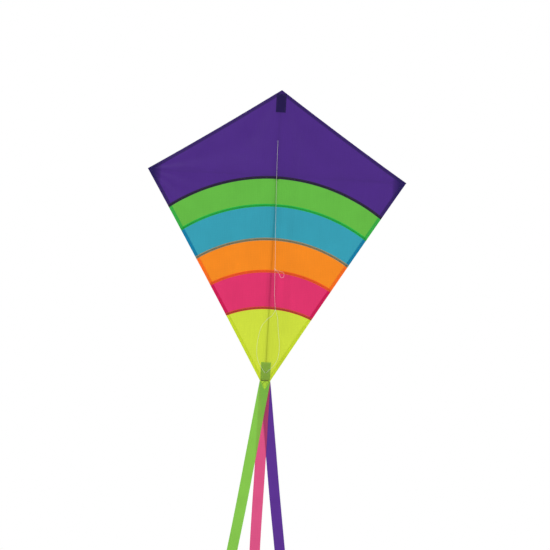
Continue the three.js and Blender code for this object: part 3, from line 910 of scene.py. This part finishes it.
def make_tail_sewing():
    """The bar tack and the cross that hold the ribbons' tops to the tail point."""
    line = TAIL_SEW_Z + 0.5 * MM
    half = 13.5 * MM
    below = line - 2 * MM
    bar, cross = (2.4 * MM, 0.3 * MM), (2.8 * MM, 0.7 * MM)  # pitch and gap
    for name, side in SIDES.items():
        dashes = []
        for k in (-1, 0, 1):
            dashes += walk(np.linspace(0, half, 10), np.full(10, line + k * 0.75 * MM), *bar)
        dashes += walk(np.linspace(0.92 * half, 0, 10), np.linspace(below, TAIL_Z + 5 * MM, 10), *cross)
        dashes += walk(np.linspace(0, 0.62 * half, 10), np.linspace(below, line - 11 * MM, 10), *cross)
        sewing = make_dashes(f"{name}_tail_sewing", dashes, side, TACK_THREAD, 0.26 * MM, 0.42 * MM)
        rigid(sewing, "frame", "yellow_cloth")


def make_pockets():
    make_spine_pocket("nose_pocket", "top", POCKET_CLOTH, THREADS["purple"], "purple_pocket")
    make_spine_pocket("tail_pocket", "bottom", TAIL_POCKET_CLOTH, THREADS["yellow"], "green_pocket")
    for name in SIDES:
        make_tip_pocket(name)
    make_tail_sewing()


# ---- Frame ----
ROD_REACH = 349 * MM  # from the fold to a spreader's outer end


def make_rod(name, start, end, radius, body, node):
    chamfer = 0.3 * MM
    along = Vector(end) - Vector(start)
    length = along.length
    profile = [(0, 0), (0, radius - chamfer), (chamfer, radius), (length - chamfer, radius),
               (length, radius - chamfer), (length, 0)]
    rigid(lathe(name, profile, start, along, ROD, 28), body, "fibreglass", node)


def wing_point(side, along, depth, z=0.0):
    """A point of a wing, for a distance out from the fold and a depth behind the cloth."""
    out = HINGE_X + along * math.cos(DIHEDRAL) - depth * math.sin(DIHEDRAL)
    back = SAIL_Y + along * math.sin(DIHEDRAL) + depth * math.cos(DIHEDRAL)
    return Vector((side * out, back, z))


def quarter_turn(centre, radius, turn, steps):
    """Places (x, z) round a quarter of a circle, which starts at a number of quarter turns."""
    angles = [math.pi / 2 * (turn + k / steps) for k in range(steps + 1)]
    return [(centre[0] + radius * math.cos(a), centre[1] + radius * math.sin(a)) for a in angles]


def ribbed(length, radius, lip, ribs, rib_width, rib_rise, bore=None):
    """The profile of a round moulding with raised ribs. It has a mouth if it has a bore."""
    profile = [(0, 0), (0, radius - lip), (lip, radius)]
    for middle in ribs:
        profile += [(middle - rib_width / 2, radius), (middle - rib_width / 4, radius + rib_rise),
                    (middle + rib_width / 4, radius + rib_rise), (middle + rib_width / 2, radius)]
    profile += [(length - lip, radius), (length, radius - lip)]
    if bore is None:
        return profile + [(length, 0)]
    floor = length - 3 * lip
    return profile + [(length, bore + lip / 2), (length - lip, bore), (floor, bore), (floor, 0)]


def gusset(name, across, up):
    """A flat web in a corner of the connector, with a hollow outer edge."""
    inner, size, thickness, steps = 3 * MM, 6 * MM, 2 * MM, 8
    outline = [(across * inner, up * inner)]
    for k in range(steps + 1):
        angle = math.pi / 2 * k / steps
        outline.append((across * (inner + size * (1 - math.sin(angle))),
                        up * (inner + size * (1 - math.cos(angle)))))
    return prism(name, outline, SPAR_Y - thickness / 2, SPAR_Y + thickness / 2, 0.4 * MM, 2, 30)


def make_connector():
    """A moulded cross: a sleeve round the spine, a boss for the arms and a flat pad behind."""
    low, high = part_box("cross_connector")
    corner = 3 * MM
    outline = []
    for turn, (x, z) in enumerate(((high.x - corner, high.z - corner), (low.x + corner, high.z - corner),
                                   (low.x + corner, low.z + corner), (high.x - corner, low.z + corner))):
        outline += quarter_turn((x, z), corner, turn, 6)
    pad = prism("connector_pad", outline, high.y - 2.8 * MM, high.y, 0.7 * MM, 4, 50)
    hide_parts("cross_connector")

    length = high.z - low.z + 6 * MM
    rings = [1.6 * MM, 6.5 * MM, length - 6.5 * MM, length - 1.6 * MM]
    sleeve_r = SPAR_Y - low.y - 0.7 * MM
    profile = ribbed(length, sleeve_r, 0.5 * MM, rings, 1.8 * MM, 0.5 * MM, bore=SPINE_R + 0.15 * MM)
    sleeve = lathe("connector_sleeve", profile, (0, SPAR_Y, low.z - 3 * MM), (0, 0, 1), VINYL)
    reach = high.x + 0.6 * MM
    rings = (1.5 * MM, 2 * reach - 1.5 * MM)
    profile = ribbed(2 * reach, 3.7 * MM, 0.8 * MM, rings, 1.4 * MM, 0.35 * MM)
    boss = lathe("connector_boss", profile, (-reach, SPAR_Y, 0), (1, 0, 0), VINYL)
    pieces = [pad, sleeve, boss]
    for label, across in SIDES.items():
        for level, up in (("lower", -1), ("upper", 1)):
            pieces.append(gusset(f"connector_{label}_{level}_web", across, up))
    for piece in pieces:
        rigid(piece, "frame", "vinyl")


def make_neck(name):
    """The soft waisted web between the connector's body and an arm."""
    side = SIDES[name]
    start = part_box("cross_connector")[1].x - 1.0 * MM
    stop = HINGE_X + 2.2 * MM
    sections, sides, squareness = 15, 16, 0.6
    angles = 2 * math.pi * np.arange(sides) / sides
    round_y = np.copysign(np.abs(np.cos(angles)) ** squareness, np.cos(angles))
    round_z = np.copysign(np.abs(np.sin(angles)) ** squareness, np.sin(angles))
    points = []
    for t in np.linspace(0, 1, sections):
        waist = (2 * t - 1) ** 2
        tall = (2.3 + 3.0 * waist * (1.0 if t < 0.5 else 0.25)) * MM
        thick = (1.05 + 0.75 * waist) * MM
        x = np.full(sides, side * (start + (stop - start) * t))
        points.extend(np.column_stack([x, SPAR_Y + thick * round_y, tall * round_z]))
    faces = grid_faces(sections, sides, closed=True)
    faces.append(tuple(range(sides))[::-1])
    faces.append(tuple(range((sections - 1) * sides, sections * sides)))
    piece = add_mesh(f"{name}_connector_neck", points, faces, VINYL)
    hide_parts(f"{name}_neck")
    hinge_blend(piece)


def make_wing_frame(name):
    side = SIDES[name]
    body = f"{name}_wing"
    outward = wing_point(side, 1, SPAR_DEPTH) - wing_point(side, 0, SPAR_DEPTH)
    ribs = [along * MM for along in (5, 10, 15, 20, 25)]
    profile = ribbed(26.5 * MM, 3.1 * MM, 0.5 * MM, ribs, 1.8 * MM, 0.5 * MM, bore=1.8 * MM)
    arm = lathe(f"{name}_arm", profile, wing_point(side, 1.0 * MM, SPAR_DEPTH), outward, VINYL)
    rigid(arm, body, "vinyl", f"{name}_connector_arm")

    rod_start, rod_end = wing_point(side, 14 * MM, SPAR_DEPTH), wing_point(side, ROD_REACH, SPAR_DEPTH)
    make_rod(f"{name}_spreader_rod", rod_start, rod_end, 1.75 * MM, body, f"{name}_spreader")
    cap_length = 10 * MM
    cap_start = wing_point(side, ROD_REACH - cap_length + 1.5 * MM, SPAR_DEPTH)
    profile = ribbed(cap_length, 2.5 * MM, 0.4 * MM, (2 * MM, 5 * MM), 1.2 * MM, 0.25 * MM)
    cap = lathe(f"{name}_spreader_end_cap", profile, cap_start, outward, CAP_VINYL)
    rigid(cap, body, "vinyl", f"{name}_spreader_cap")


def make_frame():
    make_rod("spine_rod", (0, SPAR_Y, SPINE_LOW.z), (0, SPAR_Y, SPINE_HIGH.z), SPINE_R, "frame", "spine")
    for node, direction in (("spine_nose_cap", 1), ("spine_tail_cap", -1)):
        low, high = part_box(node)
        start = low.z if direction > 0 else high.z
        profile = ribbed(high.z - low.z, 2.8 * MM, 0.4 * MM, (3 * MM, 7 * MM), 1.4 * MM, 0.3 * MM)
        cap = lathe(node + "_vinyl", profile, (0, SPAR_Y, start), (0, 0, direction), CAP_VINYL)
        rigid(cap, "frame", "vinyl", node)
    make_connector()
    for name in SIDES:
        make_neck(name)
        make_wing_frame(name)


# ---- Bridle ----
CORD_R = 0.3 * MM
CORD_Y = SAIL_Y - 1.7 * MM
TOP_HITCH = 0.147  # distances down from the nose
TAIL_HITCH = 0.824
# Places (across, drop) in millimetres, as the CAD model's cords lie.
TOW_KNOT = (10.0, 521.0)
LOOP_KNOT = (18.5, 640.0)
ROUTES = {
    "bridle_line_cord": (
        (-3, 147.2), (-2.8, 170), (-1.5, 230), (1.5, 320), (5.5, 420), (8.8, 485), (9.9, 518.8),
        (10.1, 523.2), (11, 550), (12.5, 588), (15, 615), (17.8, 637.6), (18.4, 639.5)),
    "bridle_loop_right_cord": (
        (18.9, 640.5), (19.7, 642.2), (25, 660), (30, 700), (35, 735), (35.5, 762), (30, 788),
        (19, 806), (8, 817), (3, 823.2)),
    "bridle_loop_left_cord": (
        (18.1, 640.5), (17.1, 642.2), (9, 656), (-6, 670), (-19, 689), (-27, 722), (-29.3, 757), (-25.5, 785),
        (-15, 806), (-7, 817), (-3, 823.2)),
    "tow_loop_cord": (
        (10.3, 521.3), (12.4, 522.6), (17, 524.8), (23, 526.6), (29.5, 527.2), (34.8, 530), (37.2, 535.5),
        (36.2, 541.5), (31.8, 545), (27.3, 543.2), (24.6, 537.5), (21.5, 531.5), (16.8, 527.6), (12.2, 525),
        (10.4, 522.0)),
}


def spline_points(route, per_step=8):
    """Points along a smooth curve through a route's points, in the row frame."""
    p = np.array([(x * MM, CORD_Y, drop(d * MM)) for x, d in route])
    p = np.vstack([2 * p[0] - p[1], p, 2 * p[-1] - p[-2]])
    made = []
    for a, b, c, d in zip(p[:-3], p[1:-2], p[2:-1], p[3:]):
        knots = [0.0]
        for u, v in ((a, b), (b, c), (c, d)):
            knots.append(knots[-1] + max(np.linalg.norm(v - u), 1e-6) ** 0.5)
        for t in np.linspace(knots[1], knots[2], per_step, endpoint=False):
            values = [a, b, c, d]
            for spans in (((0, 1), (1, 2), (2, 3)), ((0, 2), (1, 3)), ((1, 2),)):
                values = [((knots[j] - t) * u + (t - knots[i]) * v) / (knots[j] - knots[i])
                          for (i, j), u, v in zip(spans, values, values[1:])]
            made.append(values[0])
    made.append(p[-2])
    return np.array(made)


def cord_curve(name, points, radius=CORD_R, cyclic=False):
    data = bpy.data.curves.new(name, "CURVE")
    data.dimensions = "3D"
    data.bevel_depth = radius
    data.bevel_resolution = 3
    data.use_fill_caps = True
    data.materials.append(CORD)
    curve = add_object(name, data)
    add_spline(curve, points, cyclic)
    return curve


def add_spline(curve, points, cyclic=False):
    spline = curve.data.splines.new("POLY")
    spline.points.add(len(points) - 1)
    for place, target in zip(points, spline.points):
        target.co = (*place, 1)
    spline.use_cyclic_u = cyclic


def trefoil(centre, size):
    """An overhand knot's shape, standing up the Z axis."""
    t = np.linspace(0, 2 * math.pi, 73)[:-1]
    return np.array(centre) + np.column_stack([
        size * (np.sin(t) + 1.6 * np.sin(2 * t)),
        0.62 * size * np.sin(3 * t),
        1.25 * size * (np.cos(t) - 1.6 * np.cos(2 * t)),
    ])


def make_knot(name, place, node):
    """An overhand knot pulled tight."""
    centre = (place[0] * MM, CORD_Y, drop(place[1] * MM))
    knot = cord_curve(name, trefoil(centre, 1.45 * CORD_R), 0.95 * CORD_R, cyclic=True)
    rigid(knot, "frame", "bridle_cord", node)
    return knot


def make_hitch(name, distance, sides, along, node):
    """Turns of cord knotted round the spine, whose ends come forward through the sail and then
    turn along it, up for 1 and down for -1."""
    turns, radius = 3, SPINE_R + CORD_R + 0.05 * MM
    pitch = 2.1 * CORD_R
    z = drop(distance)
    t = np.linspace(0, 2 * math.pi * turns, 24 * turns)
    height = z + pitch * (t / (2 * math.pi) - turns / 2)
    coil = np.column_stack([radius * np.cos(t), SPAR_Y + radius * np.sin(t), height])
    hitch = cord_curve(name, coil)
    add_spline(hitch, trefoil((radius, SPAR_Y + 0.6 * MM, z), 1.3 * CORD_R), cyclic=True)
    for side in sides:
        x = side * 3 * MM
        add_spline(hitch, [
            (side * radius, SPAR_Y, z), (x, SPAR_Y - 1.5 * MM, z), (x, SAIL_Y, z), (x, CORD_Y + 0.5 * MM, z),
            (x, CORD_Y + 0.12 * MM, z + 0.15 * MM * along), (x, CORD_Y, z + 0.8 * MM * along),
        ])
    rigid(hitch, "frame", "bridle_cord", node)
    return hitch


def make_bridle():
    tow = make_knot("tow_overhand_knot", TOW_KNOT, "tow_knot")
    joined = make_knot("loop_overhand_knot", LOOP_KNOT, "loop_knot")
    top = make_hitch("top_hitch_cord", TOP_HITCH, (-1,), -1, "bridle_top_hitch")
    tail = make_hitch("tail_hitch_cord", TAIL_HITCH, (-1, 1), 1, "bridle_tail_hitch")
    # Each cord's body, its far end, the nodes it replaces and the pieces tied in it.
    cords = {
        "bridle_line_cord": ("frame", "knot", ("bridle_upper_leg", "bridle_lower_leg"), [top, tow, joined]),
        "bridle_loop_right_cord": ("frame", "object", ("bridle_loop_right",), [tail]),
        "bridle_loop_left_cord": ("frame", "object", ("bridle_loop_left",), []),
        "tow_loop_cord": ("tow_loop", "object", ("tow_loop",), []),
    }
    for name, (body, far_end, nodes, tied) in cords.items():
        points = spline_points(ROUTES[name])
        piece = cord_curve(name, points)
        rigid(piece, body, "bridle_cord", *nodes)


# ---- Tails ----
TAIL_WIDTH = 31 * MM
TAIL_LENGTH = 1.0
TAIL_BEND = 18 * MM  # the ribbons' tops reach down to this distance below the bundle's axis
# Each ribbon's angle from straight down, its place from the front, and where its waves start.
TAILS = {
    "green": (math.radians(-7.5), 0, 0.9),
    "pink": (0.0, 1, 2.6),
    "purple": (math.radians(8.1), 2, 4.4),
}


def ribbon_points(colour, along, across):
    """Points of a ribbon, for distances below the sewn line and across its width. The three move
    as one until they have spread clear of each other."""
    angle, order, phase = TAILS[colour]
    together = smoothstep(0.03, 0.3, along)
    loose = smoothstep(0.21, 0.55, along)
    sway = 4.5 * MM * np.sin(along / 0.105 + 0.6) * together
    sway = sway + loose * 7.0 * MM * np.sin(along / 0.082 + phase)
    twist = loose * 0.22 * np.sin(along / 0.128 + 1.7 * phase)
    curl = 0.4 * MM * (np.abs(across) / (TAIL_WIDTH / 2)) ** 2 * np.sin(along / 0.05 + phase) * loose
    flutter = 0.5 * MM * loose * np.sin(along / 0.017 + 2 * phase) * (across / (TAIL_WIDTH / 2))
    side_drift = loose * 2.2 * MM * np.sin(along / 0.16 + phase)
    x = side_drift + across * np.cos(twist)
    y = sway + across * np.sin(twist) + curl + flutter
    layer = SAIL_Y + (0.5 + 0.7 * order) * MM  # the ribbons lie one behind the other
    out = x * math.cos(angle) + along * math.sin(angle)
    down = along * math.cos(angle) - x * math.sin(angle) * smoothstep(-2 * MM, 30 * MM, along)
    return np.column_stack([out, layer + y, TAIL_SEW_Z - down])


def make_ribbon(colour, label, start, stop):
    rows = max(6, round((stop - start) / (5 * MM))) + 1
    columns = 9
    widths = np.linspace(-0.5, 0.5, columns) * TAIL_WIDTH
    along, across = np.meshgrid(np.linspace(start, stop, rows), widths, indexing="ij")
    points = ribbon_points(colour, along.ravel(), across.ravel())
    cut = np.column_stack([across.ravel(), along.ravel()])
    piece = add_mesh(f"{colour}_{label}", points, grid_faces(rows, columns), RIBBONS[colour], cut)
    return piece


def make_tails():
    """Each ribbon is made in two pieces, its top and the rest of it; only the pink ribbon's rest moves
    with the tails' body.
    """
    sewn = TAIL_SEW_Z - TAIL_AXIS.z
    for colour, (angle, _, _) in TAILS.items():
        split = (sewn + TAIL_BEND) / math.cos(angle)
        top = make_ribbon(colour, "ribbon_top", -1.3 * MM, split)
        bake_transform(top)
        if colour == "green":
            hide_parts("tail_tab")
        rest = make_ribbon(colour, "ribbon", split, sewn + TAIL_LENGTH)
        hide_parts(f"{colour}_tail")
        if colour == "pink":
            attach(rest, "tails")
        else:
            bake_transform(rest)


# ---- Floor and light ----
WHITE = (1, 1, 1, 1)
EVEN_LIGHT = 0.66
FLOOR_GLOW = 0.22
FLOOR_RADIUS = 3.2


def make_stage():
    n = material_nodes("studio_floor")
    grain = n.noise(n.place(), 14.0, 4.0)
    shade = n.mix(grain, linear("#f7f7f5"), linear("#fdfdfc"))
    material = n.finish(n.surface(shade, 0.9, Specular_IOR_Level=0.1, Emission_Color=WHITE,
                                  Emission_Strength=FLOOR_GLOW))
    sides = 96
    level = cad_box[0].z - 0.03
    turns = [2 * math.pi * k / sides for k in range(sides)]
    corners = [(FLOOR_RADIUS * math.cos(a), FLOOR_RADIUS * math.sin(a), level) for a in turns]
    add_mesh("floor", corners, [tuple(range(sides))], material, smooth=False)


def area_light(name, place, size, power, target=(0, 0, -0.2)):
    data = bpy.data.lights.new(name, "AREA")
    data.shape = "DISK"
    data.size = size
    data.energy = power
    lamp = add_object(name, data)
    lamp.location = place
    lamp.rotation_mode = "QUATERNION"
    lamp.rotation_quaternion = (Vector(target) - Vector(place)).to_track_quat("-Z", "Y")


def make_light():
    """A white studio: even light from all round, and soft lamps in front and behind."""
    scene = bpy.context.scene
    scene.world = bpy.data.worlds.new("studio")
    n = Nodes(scene.world, "ShaderNodeOutputWorld")
    even = n.add("ShaderNodeBackground", {"Color": WHITE, "Strength": EVEN_LIGHT}).outputs[0]
    seen = n.add("ShaderNodeBackground", {"Color": WHITE, "Strength": 1.0}).outputs[0]
    camera_ray = n.add("ShaderNodeLightPath").outputs["Is Camera Ray"]
    n.finish(n.add("ShaderNodeMixShader", {0: camera_ray, 1: even, 2: seen}).outputs[0])
    area_light("key", (-1.6, -2.6, 1.9), 1.6, 48)
    area_light("fill", (2.4, -2.2, 0.3), 2.2, 20)
    area_light("back", (0.8, 3.0, 1.4), 2.4, 34)
    scene.view_settings.view_transform = "Standard"
    scene.view_settings.look = "None"


make_camera()
make_bridle()
make_sail()
make_pockets()
make_frame()
make_tails()
make_stage()
make_light()
